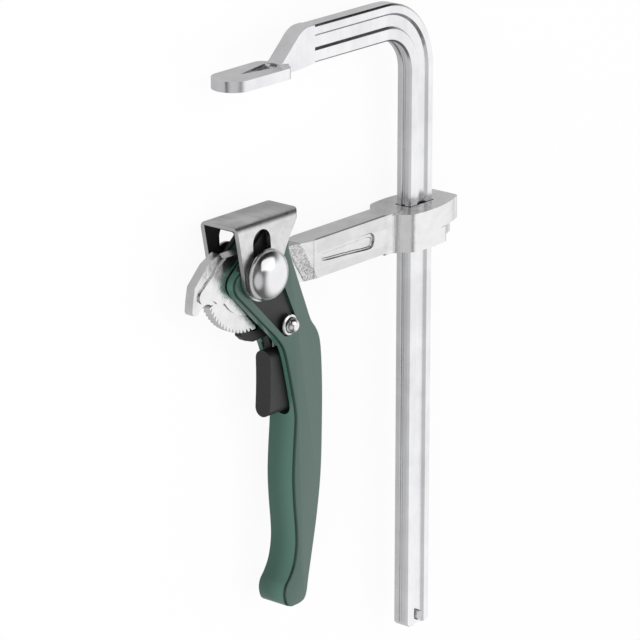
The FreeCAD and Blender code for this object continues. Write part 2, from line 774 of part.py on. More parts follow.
def make_lever_body():
    """Cast lever: two cheeks round the tongue, trigger pocket, and a grip hollowed from the back."""
    body = head_body("lever_body")
    side = new_sketch(body, "XY")
    end = "(-1 * grip_length)"
    add_outline(
        side,
        ("20.2", "-57.2"),
        ("13.2", "-30.3"),
        ("-10.1", "-7.6"),
        ("-12.9", "-4.2", "(cam_low - 0.6) * cos(cam_end) - 9.5 * sin(cam_end)",
         "(cam_low - 0.6) * sin(cam_end) + 9.5 * cos(cam_end)"),
        ("(cam_low - 0.6) * cos(cam_end) + 2 * sin(cam_end)",
         "(cam_low - 0.6) * sin(cam_end) - 2 * cos(cam_end)"),
        cam_point("(90 + open_angle / 2)", "cheek_drop"),
        (*cam_point("(90 + open_angle / 4)", "cheek_drop"), *cam_point("90", "cheek_drop")),
        ("cam_rate + 2.4", "cam_top - cheek_drop - 1.3", "cam_rate + 3.3", "cam_top - cheek_drop - 4.3"),
        ("15.5", "6.4", "17", "3.1"),
        ("28.6", "-24.5"),
        ("32.5", "-28.9", "33.9", "-34"),
        ("34.7", "-0.45 * grip_length", "33.4", "-0.65 * grip_length"),
        ("31", f"{end} + 28", "27", f"{end} + 8.8"),
        ("25.7", f"{end} + 3"),
        ("24.3", f"{end} + 0.8", "21.4", f"{end}"),
        ("17.8", f"{end}"),
        ("14.1", f"{end} + 1.9", "13.4", f"{end} + 6.2"),
        ("14.1", f"{end} + 8.6"),
        ("18.8", f"{end} + 15.8", "20.2", f"{end} + 24"),
        ("18.6", "-0.64 * grip_length"),
    )
    pad(body, side, "2 * lever_half")

    gap = new_sketch(body, "XY")
    add_outline(
        gap,
        ("-30", "30"),
        ("-30", "-34"),
        ("11", "-34"),
        ("30", "-34"),
        ("27.6", "-28.6"),
        ("21.4", "-14"),
        ("40", "-14"),
        ("40", "30"),
    )
    pocket(body, gap, "2 * cheek_inner")
    hatch = new_sketch(body, "YZ", "pocket_floor")
    add_outline(
        hatch,
        ("-30.5", "-1 * pocket_half"),
        ("-30.5", "pocket_half"),
        ("-58.6 + pocket_half", "pocket_half"),
        ("-58.6", "0", "-58.6 + pocket_half", "-1 * pocket_half"),
    )
    pocket(body, hatch, both=False)
    cells = new_sketch(body, "XY")
    for number in range(3):
        cell_top = f"(-1 * channel_top - {number} * rib_pitch)"
        add_box(cells, ("channel_floor", f"{cell_top} - rib_pitch + rib"), ("45", cell_top))
    pocket(body, cells, "2 * channel_half")
    window = new_sketch(body, "XY", "plate_floor")
    add_outline(window, *plate_outline("plate_gap"))
    recess = pocket(body, window, "lever_half", both=False, reverse=True)
    mirror(body, recess)
    bores = new_sketch(body, "XY")
    add_circle(bores, ("0", "0"), "sleeve_diameter / 2 + fit")
    add_circle(bores, ("pin_right", "-1 * pin_down"), "pin_diameter / 2 + fit")
    pocket(body, bores)
    bevel_edges(body, "grip_bevel", grip_rim)
    return body


def grip_rim(edge):
    """The long edges of the grip and head on both faces of the casting."""
    box = edge.BoundBox
    on_face = abs(abs(edge.CenterOfMass.z) - value("lever_half")) < 0.01
    return on_face and box.YMax < -1 * value("button_top") + 2.4


# Pawl, trigger and their pin

def make_pawl():
    """Steel pawl under the teeth with a tail that the trigger button is moulded on."""
    body = head_body("pawl")

    def by_pin(angle):
        return (f"pin_right + hub_radius * cos({angle})", f"-1 * pin_down + hub_radius * sin({angle})")

    def under_teeth(angle):
        return (f"pawl_radius * cos({angle})", f"pawl_radius * sin({angle})")

    middle = "(pin_right - 0.6)"
    profile = new_sketch(body, "XY", "-1 * pawl_low")
    add_outline(
        profile,
        under_teeth("264"),
        (*under_teeth("267.5"), *under_teeth("271")),
        ("5", "-23.7"),
        by_pin("122"),
        (*by_pin("45"), *by_pin("-20")),
        (f"{middle} + tail_width / 2", "-31"),
        (f"{middle} + tail_width / 2", "-1 * tail_end"),
        (f"{middle} - tail_width / 2", "-1 * tail_end"),
        (f"{middle} - tail_width / 2", "-31"),
        ("11.6", "-27.2"),
        ("4", "-27.6"),
        ("-0.2", "-26.2"),
        ("-2.5", "-24.2"),
    )
    add_circle(profile, ("pin_right", "-1 * pin_down"), "pin_diameter / 2 + fit")
    pad(body, profile, "pawl_thickness", both=False)
    return body


def make_trigger_button():
    """Moulded finger pad with a hollow front face and round ends."""
    body = head_body("trigger_button")
    top = "-1 * button_top"
    low = "-1 * button_bottom"
    side = new_sketch(body, "XY")
    add_outline(
        side,
        ("button_front + 0.4", top),
        ("button_front + 9.6", top),
        ("button_front + 12.8", low),
        ("button_front", low),
        ("button_front + 0.7", f"{low} + 12", "button_front + 0.4", top),
    )
    pad(body, side, "2 * button_half")
    front = new_sketch(body, "YZ")
    add_box(front, (f"{low} - 3", "-1 * button_half - 2"), (f"{top} + 3", "button_half + 2"))
    add_outline(
        front,
        (f"{low} + button_half", "-1 * button_half"),
        (f"{top} - button_half", "-1 * button_half"),
        (top, "0", f"{top} - button_half", "button_half"),
        (f"{low} + button_half", "button_half"),
        (low, "0", f"{low} + button_half", "-1 * button_half"),
    )
    pocket(body, front)
    seat = new_sketch(body, "XY", "-1 * pawl_low - fit")
    middle = "(pin_right - 0.6)"
    add_box(seat, (f"{middle} - tail_width / 2 - fit", "-1 * tail_end - fit"),
            (f"{middle} + tail_width / 2 + fit", f"{top} + 1"))
    pocket(body, seat, "pawl_thickness + 2 * fit", both=False, reverse=True)
    return body


def make_pawl_pin():
    """Pin through the cheeks, the plates and the pawl, with a domed head on the near side."""
    body = new_body("pawl_pin", "-1 * reach + pin_right", "-1 * pivot_drop - pin_down")
    half = new_sketch(body, "XZ")
    seat = "(lever_half + fit)"
    add_outline(
        half,
        ("0", f"-1 * {seat} - 1.6"),
        ("pin_diameter / 2 - 0.4", f"-1 * {seat} - 1.6"),
        ("pin_diameter / 2", f"-1 * {seat} - 1.2"),
        ("pin_diameter / 2", seat),
        ("pin_head_radius", seat),
        ("pin_head_radius", f"{seat} + 0.7"),
        ("pin_head_radius - 0.7", f"{seat} + 1"),
        ("pin_head_radius * 0.68", f"{seat} + pin_head_height * 0.66"),
        ("pin_head_radius * 0.36", f"{seat} + pin_head_height * 0.92"),
        ("0", f"{seat} + pin_head_height"),
    )
    spin(body, half)
    return body


def make_pin_retainer():
    """Dished push-on ring that holds the pawl pin on the far side."""
    body = new_body("pin_retainer", "-1 * reach + pin_right", "-1 * pivot_drop - pin_down")
    half = new_sketch(body, "XZ")
    seat = "(lever_half + fit)"
    add_outline(
        half,
        ("pin_diameter / 2 + fit", f"-1 * {seat} - 1.2"),
        ("pin_diameter / 2 + fit", f"-1 * {seat} - 0.6"),
        ("pin_head_radius", f"-1 * {seat}"),
        ("pin_head_radius", f"-1 * {seat} - 0.5"),
    )
    spin(body, half)
    return body


def make_pawl_spring():
    """Torsion spring round the pawl pin: one leg on the lever's web, one on the button."""
    wire = value("wire")
    radius = value("coil_radius")
    pitch = value("coil_pitch")
    turns = value("coil_turns")
    start_height = value("-1 * pawl_low + pawl_thickness") + 0.1 + wire / 2
    centre = V(value("pin_right"), value("-1 * pin_down"), start_height)
    helix = Part.makeHelix(pitch, pitch * turns, radius)
    helix.rotate(V(0, 0, 0), V(0, 0, 1), 90)
    helix.translate(centre)
    coil = helix.Edges[0]
    first = coil.valueAt(coil.FirstParameter)
    last = coil.valueAt(coil.LastParameter)
    into = coil.tangentAt(coil.FirstParameter)
    out = coil.tangentAt(coil.LastParameter)
    rear_leg = value("spring_leg")
    front_leg = value("button_top - pin_down") - 0.2
    path = Part.Wire([
        Part.makeLine(first - into * rear_leg, first),
        *helix.Edges,
        Part.makeLine(last, last + out * front_leg),
    ])
    start = first - into * rear_leg
    across = into.cross(V(0, 0, 1)).normalize() * (wire / 2)
    turn = FreeCAD.Rotation(into, 60)
    corners = [across]
    for _ in range(6):
        corners.append(turn.multVec(corners[-1]))
    section = Part.makePolygon([start + corner for corner in corners])
    spring = doc.addObject("Part::Feature", "pawl_spring")
    spring.Shape = path.makePipeShell([section], True, True)
    spring.Label = "pawl_spring"
    bind(spring, "Placement.Base.x", "shift_right - reach")
    bind(spring, "Placement.Base.y", "shift_up - pivot_drop")
    bind(spring, "Placement.Base.z", "mid_height")
    return spring


pieces = [
    make_bar(),
    make_stop_pin(),
    make_sliding_arm(),
    make_pivot_sleeve(),
    make_pivot_rivet(),
    make_pivot_washer("pivot_washer_near", 1),
    make_pivot_washer("pivot_washer_far", -1),
    make_pressure_bracket(),
    make_cam_plate("cam_plate_near", 1),
    make_cam_plate("cam_plate_far", -1),
    make_lever_body(),
    make_pawl(),
    make_trigger_button(),
    make_pawl_pin(),
    make_pin_retainer(),
    make_pawl_spring(),
]
doc.recompute()

faulty = [item.Name for item in doc.Objects if "Invalid" in item.State or "Error" in item.State]
for piece in pieces:
    if piece.Shape.isNull() or not piece.Shape.isValid() or len(piece.Shape.Solids) < 1:
        faulty.append(piece.Label)
if faulty:
    raise RuntimeError("failed: " + ", ".join(faulty))

os.makedirs("parts", exist_ok=True)
whole = Part.makeCompound([piece.Shape for piece in pieces])
for piece in pieces:
    piece.Shape.exportStep(f"parts/{piece.Label}.step")
    middle = piece.Shape.Solids[0].CenterOfMass
    volume = piece.Shape.Volume / 1000
    print(f"{piece.Label}: {volume:.2f} cm3 about {middle.x:.1f}, {middle.y:.1f}, {middle.z:.1f}")
box = whole.BoundBox
print(f"size {box.XLength:.3f} by {box.YLength:.3f} by {box.ZLength:.3f}, lowest at {box.ZMin:.3f}")
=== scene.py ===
# %% [markdown]
# # A one-handed lever bar clamp
#
# The clamp lies on its side on a pale floor.
# Its construction solids are loaded as a fixed frame, and this script gives them their looks.
# Forged, bent and moulded pieces keep their solid and get a fine rounded edge.
# The lever, the turned heads and the spring are computed as smooth surfaces.
# Lengths are in millimetres: SHIFT is the bar's axis at the arm, PIVOT the lever's axis,
# and PIN the pawl's axis, which lies at PIN_AT from the pivot.

# %% Load the frame
import math

import bmesh
import bpy
import numpy as np
from mathutils import Matrix, Vector


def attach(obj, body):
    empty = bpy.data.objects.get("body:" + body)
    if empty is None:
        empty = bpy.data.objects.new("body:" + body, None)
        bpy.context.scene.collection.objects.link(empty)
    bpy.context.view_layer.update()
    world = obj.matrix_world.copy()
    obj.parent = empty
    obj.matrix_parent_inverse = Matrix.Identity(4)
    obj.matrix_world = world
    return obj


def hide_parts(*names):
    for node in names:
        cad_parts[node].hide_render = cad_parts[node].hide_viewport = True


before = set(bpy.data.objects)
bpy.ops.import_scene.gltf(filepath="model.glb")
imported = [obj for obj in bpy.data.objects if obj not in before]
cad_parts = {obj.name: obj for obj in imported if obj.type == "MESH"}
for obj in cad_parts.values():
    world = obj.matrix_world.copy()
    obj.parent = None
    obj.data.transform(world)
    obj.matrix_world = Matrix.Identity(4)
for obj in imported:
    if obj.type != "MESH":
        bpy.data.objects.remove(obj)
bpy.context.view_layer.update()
MM = 0.001
SHIFT = np.array([52.9, 43.5, 12.3])
PIVOT = SHIFT + np.array([-94.0, -3.2, 0.0])
PIN_AT = np.array([15.7, -22.8])
PIN = PIVOT + np.append(PIN_AT, 0.0)

# %% [markdown]
# ## Small tools
#
# A piece is a mesh whose place is in its vertices, so its object stays at the origin.
# Every piece rides on one body and stands for one node of the frame.


# %% Pieces
def new_piece(name, points, faces, origin=(0, 0, 0)):
    """A mesh object from an array of points in millimetres about an origin."""
    mesh = bpy.data.meshes.new(name)
    mesh.from_pydata(((np.asarray(points, float) + origin) * MM).tolist(), [], faces)
    mesh.validate()
    piece = bpy.data.objects.new(name, mesh)
    bpy.context.scene.collection.objects.link(piece)
    outward = bmesh.new()
    outward.from_mesh(mesh)
    bmesh.ops.recalc_face_normals(outward, faces=outward.faces)
    outward.to_mesh(mesh)
    outward.free()
    return piece


def smooth_by_angle(piece, degrees):
    """Smooth shading except where faces meet more sharply than the angle."""
    mesh = piece.data
    mesh.polygons.foreach_set("use_smooth", np.ones(len(mesh.polygons), bool))
    mesh.set_sharp_from_angle(angle=math.radians(degrees))


def stand_for(piece, node, body):
    """The piece rides on a body and is shown in place of a node."""
    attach(piece, body)
    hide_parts(node)
    return piece


print("tools: pieces that stand for nodes")

# %% [markdown]
# Computed surfaces are rings of points, joined by quads from one ring to the next.


# %% Surfaces
def grid_faces(rows, columns):
    """Quads between the rows of a grid whose columns run round a closed ring."""
    faces = []
    for i in range(rows - 1):
        here, there = i * columns, (i + 1) * columns
        for j in range(columns):
            k = (j + 1) % columns
            faces.append((here + j, here + k, there + k, there + j))
    return faces


def capped(rows, columns):
    """The same quads with one face over each end ring."""
    first = tuple(range(columns))[::-1]
    last = tuple((rows - 1) * columns + j for j in range(columns))
    return grid_faces(rows, columns) + [first, last]


def turned(name, profile, origin, around):
    """A surface of revolution about the z axis.

    Each profile point (radius, height) sweeps a ring of points
    (radius cos t, radius sin t, height); the first and last rings shrink to the axis."""
    profile = np.asarray(profile, float)
    turn = np.linspace(0, 2 * np.pi, around, endpoint=False)
    radius, height = profile[1:-1, 0], profile[1:-1, 1]
    rings = np.stack([
        radius[:, None] * np.cos(turn), radius[:, None] * np.sin(turn),
        np.repeat(height[:, None], around, 1)], axis=-1).reshape(-1, 3)
    count = len(radius)
    faces = grid_faces(count, around)
    low, high = len(rings), len(rings) + 1
    ends = np.array([[0, 0, profile[0, 1]], [0, 0, profile[-1, 1]]])
    for j in range(around):
        k = (j + 1) % around
        faces.append((low, k, j))
        faces.append((high, (count - 1) * around + j, (count - 1) * around + k))
    return new_piece(name, np.vstack([rings, ends]), faces, origin)


def curve_through(points, steps=8):
    """A Catmull-Rom curve: between two points each coordinate is the cubic whose slopes
    at the ends are half the step from the point before to the point after."""
    points = np.asarray(points, float)
    padded = np.vstack([2 * points[0] - points[1], points, 2 * points[-1] - points[-2]])
    t = np.linspace(0, 1, steps, endpoint=False)[:, None]
    runs = []
    for before, here, there, after in zip(padded, padded[1:], padded[2:], padded[3:]):
        into, out = (there - before) / 2, (after - here) / 2
        runs.append((2 * t**3 - 3 * t**2 + 1) * here + (t**3 - 2 * t**2 + t) * into
                    + (-2 * t**3 + 3 * t**2) * there + (t**3 - t**2) * out)
    return np.vstack(runs + [points[-1:]])


def even_steps(outline, spacing):
    """The closed outline again with points at an even distance."""
    closed = np.vstack([outline, outline[:1]])
    gaps = np.hypot(*np.diff(closed, axis=0).T)
    along = np.concatenate([[0], np.cumsum(gaps)])
    count = int(along[-1] / spacing)
    wanted = np.linspace(0, along[-1], count, endpoint=False)
    return np.stack([np.interp(wanted, along, closed[:, axis]) for axis in (0, 1)], axis=-1)


def unit(vectors):
    """Each row scaled to length 1."""
    return vectors / np.hypot(*vectors.T)[:, None]


def cushion(name, outline, low, high, rim, origin, steps=5):
    """A slab with rounded rims from a closed outline given anticlockwise.

    Each ring is the outline moved inwards by rim (1 - cos a) at a height rim sin a
    beyond the straight wall, for a from 0 to a quarter turn, on both faces."""
    ahead = np.roll(outline, -1, 0) - outline
    behind = outline - np.roll(outline, 1, 0)
    along = unit(unit(ahead) + unit(behind))
    inward = np.stack([-along[:, 1], along[:, 0]], axis=-1)
    angles = np.linspace(0, np.pi / 2, steps)
    rings = []
    for a in angles[::-1]:
        rings.append((rim * (1 - np.cos(a)), low + rim - rim * np.sin(a)))
    for a in angles:
        rings.append((rim * (1 - np.cos(a)), high - rim + rim * np.sin(a)))
    points = []
    for inset, height in rings:
        flat = outline + inward * inset
        points.append(np.column_stack([flat, np.full(len(flat), height)]))
    return new_piece(name, np.vstack(points), capped(len(rings), len(outline)), origin)


print("tools: turned, curved and cushioned surfaces")

# %% [markdown]
# Cutters are blocks that are taken out of a piece, and edges are rounded last.


# %% Cutters and edges
def prism(name, outline, low, high, origin, plane="xy"):
    """A straight block over an outline, used as a cutter."""
    outline = np.asarray(outline, float)
    count = len(outline)
    levels = np.repeat([low, high], count)
    flat = np.vstack([outline, outline])
    order = {"xy": (flat[:, 0], flat[:, 1], levels), "yz": (levels, flat[:, 0], flat[:, 1])}[plane]
    return new_piece(name, np.column_stack(order), capped(2, count), origin)


def tray(name, outline, surface, depth, slope, origin, plane="xy"):
    """A cutter for a recess with sloped walls.

    Its rings are the outline well above the surface and at the surface, and the outline
    shrunk towards its middle by the slope at the recess's floor."""
    outline = np.asarray(outline, float)
    middle = outline.mean(0)
    reach = np.hypot(*(outline - middle).T)[:, None]
    ahead = np.roll(outline, -1, 0) - np.roll(outline, 1, 0)
    inward = np.stack([-ahead[:, 1], ahead[:, 0]], axis=-1) / np.hypot(*ahead.T)[:, None]
    floor = outline + inward * np.minimum(slope, 0.4 * reach)
    count = len(outline)
    flat = np.vstack([outline, outline, floor])
    side = math.copysign(1.0, surface)
    levels = np.repeat([surface + side, surface, surface - side * depth], count)
    order = {"xy": (flat[:, 0], flat[:, 1], levels), "xz": (flat[:, 0], levels, flat[:, 1])}[plane]
    return new_piece(name, np.column_stack(order), capped(3, count), origin)


def cut_out(piece, cutters):
    """Take every cutter out of the piece and remove the cutters."""
    for cutter in cutters:
        cut = piece.modifiers.new("cut", "BOOLEAN")
        cut.operation = "DIFFERENCE"
        cut.solver = "MANIFOLD"
        cut.object = cutter
    bpy.context.view_layer.update()
    result = bpy.data.meshes.new_from_object(piece.evaluated_get(bpy.context.evaluated_depsgraph_get()))
    piece.modifiers.clear()
    piece.data = result
    for cutter in cutters:
        bpy.data.objects.remove(cutter)


def rounded(piece, width, segments=2, angle=28):
    """Round every edge sharper than the angle by a small width in millimetres."""
    bevel = piece.modifiers.new("edges", "BEVEL")
    bevel.width = width * MM
    bevel.segments = segments
    bevel.limit_method = "ANGLE"
    bevel.angle_limit = math.radians(angle)
    bevel.harden_normals = True
    bevel.miter_outer = "MITER_ARC"
    bevel.use_clamp_overlap = True


def softened(node, body, width, segments=2, cutters=()):
    """A copy of a solid for the looks.

    Its loose triangles are joined, flat areas are made one face and its edges are rounded."""
    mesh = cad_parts[node].data.copy()
    mesh.materials.clear()
    work = bmesh.new()
    work.from_mesh(mesh)
    bmesh.ops.remove_doubles(work, verts=work.verts, dist=2e-6)
    bmesh.ops.recalc_face_normals(work, faces=work.faces)
    work.to_mesh(mesh)
    piece = bpy.data.objects.new(node + "_shown", mesh)
    bpy.context.scene.collection.objects.link(piece)
    if cutters:
        cut_out(piece, cutters)
        work.clear()
        work.from_mesh(piece.data)
    bmesh.ops.dissolve_limit(work, angle_limit=math.radians(1.0), verts=work.verts, edges=work.edges)
    bmesh.ops.recalc_face_normals(work, faces=work.faces)
    work.to_mesh(piece.data)
    work.free()
    smooth_by_angle(piece, 30)
    rounded(piece, width, segments)
    return stand_for(piece, node, body)


print("tools: cutters and rounded edges")

# %% [markdown]
# ## Shader maths
#
# One small class wraps a socket, so a pattern is written as a plain formula.
# The first line numbers the outputs used of the Texture Coordinate and Light Path nodes.

# %% Shader tools
OBJECT_PLACE, CAMERA_RAY, GLOSSY_RAY = 3, 0, 3


class Value:
    """A socket or a number that takes part in arithmetic by adding Math nodes."""

    def __init__(self, tree, socket):
        self.tree, self.socket = tree, socket

    def math(self, operation, *others):
        return self.tree.node(
            "ShaderNodeMath", {"operation": operation}, dict(enumerate((self, *others))))

    def __add__(self, other):
        return self.math("ADD", other)

    def __radd__(self, other):
        return self.math("ADD", other)

    def __sub__(self, other):
        return self.math("SUBTRACT", other)

    def __rsub__(self, other):
        return self.tree.node("ShaderNodeMath", {"operation": "SUBTRACT"}, {0: other, 1: self})

    def __mul__(self, other):
        return self.math("MULTIPLY", other)

    def __rmul__(self, other):
        return self.math("MULTIPLY", other)

    def between(self, low, high, edge):
        """1 between two values and 0 outside them, with soft edges."""
        return self.ramp(low - edge, low + edge) * (1 - self.ramp(high - edge, high + edge))

    def ramp(self, low, high):
        """0 below low, 1 above high and a smooth step between."""
        return self.tree.node("ShaderNodeMapRange", {"interpolation_type": "SMOOTHSTEP"},
                              {"Value": self, "From Min": low, "From Max": high})


class Tree:
    """A node tree and the one method that adds to it."""

    def __init__(self, tree):
        self.nodes, self.links = tree.nodes, tree.links

    def node(self, kind, settings=None, values=None, output=0):
        made = self.nodes.new(kind)
        for key, setting in (settings or {}).items():
            setattr(made, key, setting)
        for key, value in (values or {}).items():
            if isinstance(value, Value):
                self.links.new(value.socket, made.inputs[key])
            else:
                made.inputs[key].default_value = value
        return Value(self, made.outputs[output])


class Finish(Tree):
    """A material with one principled surface and the tools to feed it."""

    def __init__(self, name, **constants):
        self.material = bpy.data.materials.new(name)
        self.material.use_nodes = True
        super().__init__(self.material.node_tree)
        self.surface = self.nodes["Principled BSDF"]
        for socket, amount in constants.items():
            self.surface.inputs[socket.replace("_", " ")].default_value = amount

    def place(self, stretch=(1, 1, 1)):
        """The point on the piece in the row frame, stretched by a factor along each axis."""
        point = self.node("ShaderNodeTexCoord", output=OBJECT_PLACE)
        return self.node("ShaderNodeVectorMath", {"operation": "MULTIPLY"}, {0: point, 1: stretch})

    def noise(self, scale, detail=2.0, stretch=(1, 1, 1), roughness=0.5):
        return self.node("ShaderNodeTexNoise", None, {
            "Vector": self.place(stretch), "Scale": scale, "Detail": detail, "Roughness": roughness})

    def along(self, direction, origin):
        """Distance in millimetres of the point from an origin along a direction."""
        point = self.node("ShaderNodeTexCoord", output=OBJECT_PLACE)
        offset = -float(np.dot(direction, origin))
        scaled = self.node("ShaderNodeVectorMath", {"operation": "DOT_PRODUCT"},
                           {0: point, 1: tuple(c / MM for c in direction)}, output=1)
        return scaled + offset

    def cells(self, scale):
        return self.node("ShaderNodeTexVoronoi", None, {"Vector": self.place(), "Scale": scale})

    def blend(self, mask, first, second):
        """The first colour where the mask is 0 and the second where it is 1."""
        return self.node("ShaderNodeMix", {"data_type": "RGBA"}, {
            0: mask, 6: (*first, 1) if isinstance(first, tuple) else first,
            7: (*second, 1) if isinstance(second, tuple) else second}, output=2)

    def feed(self, **sockets):
        for name, value in sockets.items():
            self.links.new(value.socket, self.surface.inputs[name.replace("_", " ")])

    def relief(self, height, depth):
        """Bump the surface by a height pattern; depth in millimetres."""
        bump = self.node("ShaderNodeBump", None, {
            "Height": height, "Strength": 1.0, "Distance": depth * MM})
        self.feed(Normal=bump)

    def put_on(self, *pieces):
        for piece in pieces:
            piece.data.materials.clear()
            piece.data.materials.append(self.material)


print("tools: shader values and finishes")

# %% [markdown]
# ## The lever
#
# The casting is one slab with rounded rims, computed from its side outline.
# Straight blocks then take out the head slot, the trigger pocket, the cells at the back
# and the seats of the two black plates.
# The cam's edge is an involute, so the bracket above it moves at a steady rate.

# %% The cam's involute
CAM_TOP, LIFT, OPEN = 17.1, 9.0, 40.0
CAM_RATE = LIFT / math.radians(OPEN)
WAIST, PLATE_END, PLATE_BACK = 9.2, 4.2, 13.4
PIN_REACH = math.hypot(*PIN_AT)
PIN_ANGLE = math.degrees(math.acos(PIN_AT[0] / PIN_REACH))
SPREAD = math.degrees(math.acos((WAIST - PLATE_END) / PIN_REACH))


def polar(radius, degrees, centre=(0, 0)):
    degrees = np.radians(np.atleast_1d(degrees))
    return np.column_stack([centre[0] + radius * np.cos(degrees), centre[1] + radius * np.sin(degrees)])


def cam(degrees, drop=0.0):
    """Points of the cam: from a height h over the pivot in direction a, falling at a steady rate,
    step sideways by the rate, so x = h cos a + rate sin a and y = h sin a - rate cos a."""
    turn = np.radians(np.atleast_1d(degrees))
    height = CAM_TOP - drop - CAM_RATE * (turn - np.pi / 2)
    return np.column_stack([
        height * np.cos(turn) + CAM_RATE * np.sin(turn), height * np.sin(turn) - CAM_RATE * np.cos(turn)])


def plate_outline(grow=0.0):
    """Tapered link from the pivot to the pawl pin with the cam on top, anticlockwise."""
    left, right = -PIN_ANGLE - SPREAD, -PIN_ANGLE + SPREAD
    nose = curve_through([
        (PLATE_BACK + grow, -8), (PLATE_BACK + grow, 4), (PLATE_BACK + 1 + grow, 8.2),
        (CAM_RATE + 3.9 + grow, CAM_TOP - 5.4), (CAM_RATE + 3 + grow, CAM_TOP - 1.5 + grow),
        tuple(cam(90, -grow)[0])], 6)
    seat = 90 + OPEN + math.degrees(math.acos((CAM_TOP - LIFT) / WAIST))
    return np.vstack([
        polar(WAIST + grow, np.linspace(seat, 360 + left, 22)),
        polar(PLATE_END + grow, np.linspace(left, right, 16), PIN_AT),
        nose,
        cam(np.linspace(90, 90 + OPEN, 18)[1:], -grow),
    ])


print("the cam plate's outline has", len(plate_outline()), "points")

# %% [markdown]
# The grip's two sides, the head and the crown under the bracket make one closed outline.

# %% Lever casting
HALF, RIM = 6.5, 1.0
CROWN_DROP = 2.0
grip_back = curve_through([
    (25.6, -17.5), (28.4, -24.0), (31.6, -28.4), (33.6, -34.0), (34.5, -46.0), (34.6, -60.3),
    (33.9, -81.6), (31.9, -97.0), (29.6, -108.8), (27.0, -121.0), (25.9, -126.6), (24.3, -129.2),
    (21.4, -130.0)])
grip_front = curve_through([
    (17.8, -130.0), (14.6, -128.4), (13.4, -124.4), (14.2, -121.0), (16.5, -118.2),
    (18.8, -113.9), (20.1, -107.6), (20.0, -100.9), (19.0, -91.0), (18.5, -81.6), (18.9, -72.1),
    (19.7, -62.0), (19.6, -56.5), (16.9, -44.0), (13.6, -32.5), (9.6, -26.8), (4.0, -21.4)])
head = curve_through([
    (-8.6, -9.1), (-11.4, -6.2), (-12.7, -3.3), (-11.97, -0.5), (-9.6, 1.6), (-3.2, 6.85)], 6)
crown = np.vstack([
    cam(np.linspace(112, 92, 9), CROWN_DROP),
    curve_through([
        tuple(cam(90, CROWN_DROP)[0]), (15.2, 13.6), (16.1, 10.8), (16.2, 7.4), (17.0, 3.1)], 6)])
outline = np.vstack([grip_back, grip_front, head, crown])[::-1]
lever = cushion("lever_casting", even_steps(outline, 0.8), -HALF, HALF, RIM, PIVOT)
print("lever outline:", len(outline), "points")

# %% [markdown]
# Cutters reach past the casting: the slot for the arm's tongue, the trigger's hatch,
# three cells open at the back, a seat in each cheek and the two bores.

# %% Lever hollows
GAP_HALF, HATCH_HALF, HATCH_END = 2.9, 3.8, -54.8
CELL_TOP, CELL_PITCH, CELL_LENGTH, CELL_FLOOR, CELL_HALF = -62.8, 17.2, 15.2, 23.4, 4.0
SEAT_FLOOR, PAST_CHEEK, PAST_BACK = 3.9, 9, 45
PIVOT_BORE, PIN_BORE = 3.55, 2.05
gap = [(-30, -34), (30, -34), (27.6, -28.6), (21.4, -14), (40, -14), (40, 30), (-30, 30)]
hatch_end = [(y, z) for z, y in polar(HATCH_HALF, np.linspace(0, -180, 17), (0, HATCH_END))]
hatch = [(-30.5, -HATCH_HALF), (-30.5, HATCH_HALF)] + hatch_end
cutters = [
    prism("cut_gap", gap, -GAP_HALF, GAP_HALF, PIVOT),
    prism("cut_hatch", hatch, -30, 31.1, PIVOT, "yz"),
]
for number in range(3):
    top = CELL_TOP - CELL_PITCH * number
    end = top - CELL_LENGTH
    corners = np.array([(CELL_FLOOR, end), (PAST_BACK, end), (PAST_BACK, top), (CELL_FLOOR, top)])
    cell = even_steps(corners, 4.0)
    cutters.append(prism(f"cut_cell_{number}", cell, -CELL_HALF, CELL_HALF, PIVOT))
for sign in (1, -1):
    low, high = sorted((SEAT_FLOOR * sign, PAST_CHEEK * sign))
    cutters.append(prism(f"cut_seat_{sign}", plate_outline(0.1), low, high, PIVOT))
for name, radius, steps, centre in (("cut_pivot", PIVOT_BORE, (354, 60), PIVOT),
                                    ("cut_pin", PIN_BORE, (350, 36), PIN)):
    bore = polar(radius, np.linspace(0, *steps))
    cutters.append(prism(name, bore, -PAST_CHEEK, PAST_CHEEK, centre))
cut_out(lever, cutters)
smooth_by_angle(lever, 30)
rounded(lever, 0.22, 2, 40)
stand_for(lever, "lever_body", "lever_group")
print("lever casting:", len(lever.data.polygons), "faces")

# %% [markdown]
# The black plates keep their solids, as stamped sheet would look.

# %% Black cam plates
plates = []
for node in ("cam_plate_near", "cam_plate_far"):
    plates.append(softened(node, "lever_group", 0.2))
print("cam plates:", len(plates))

# %% [markdown]
# ## Turned pieces
#
# The pivot rivet and the pawl pin are surfaces of revolution with domed heads.

# %% Rivet and pins
SEAT = 9.9
dome = curve_through([
    (9.35, 0.6), (9.1, 1.6), (8.4, 2.8), (7.0, 4.0), (5.2, 4.9), (3.0, 5.4), (0.0, 5.6)], 6)
far_head = curve_through([(0, -2.4), (2.4, -2.34), (4.6, -1.9), (6.2, -1.25), (7.0, -0.5)], 6)
rivet_profile = np.vstack([
    far_head + [0, -SEAT], [(7.0, -SEAT), (2.5, -SEAT), (2.5, SEAT), (9.2, SEAT), (9.35, SEAT + 0.2)],
    dome + [0, SEAT]])
rivet = turned("rivet", rivet_profile, PIVOT, 96)
smooth_by_angle(rivet, 40)
stand_for(rivet, "pivot_rivet", "arm_group")

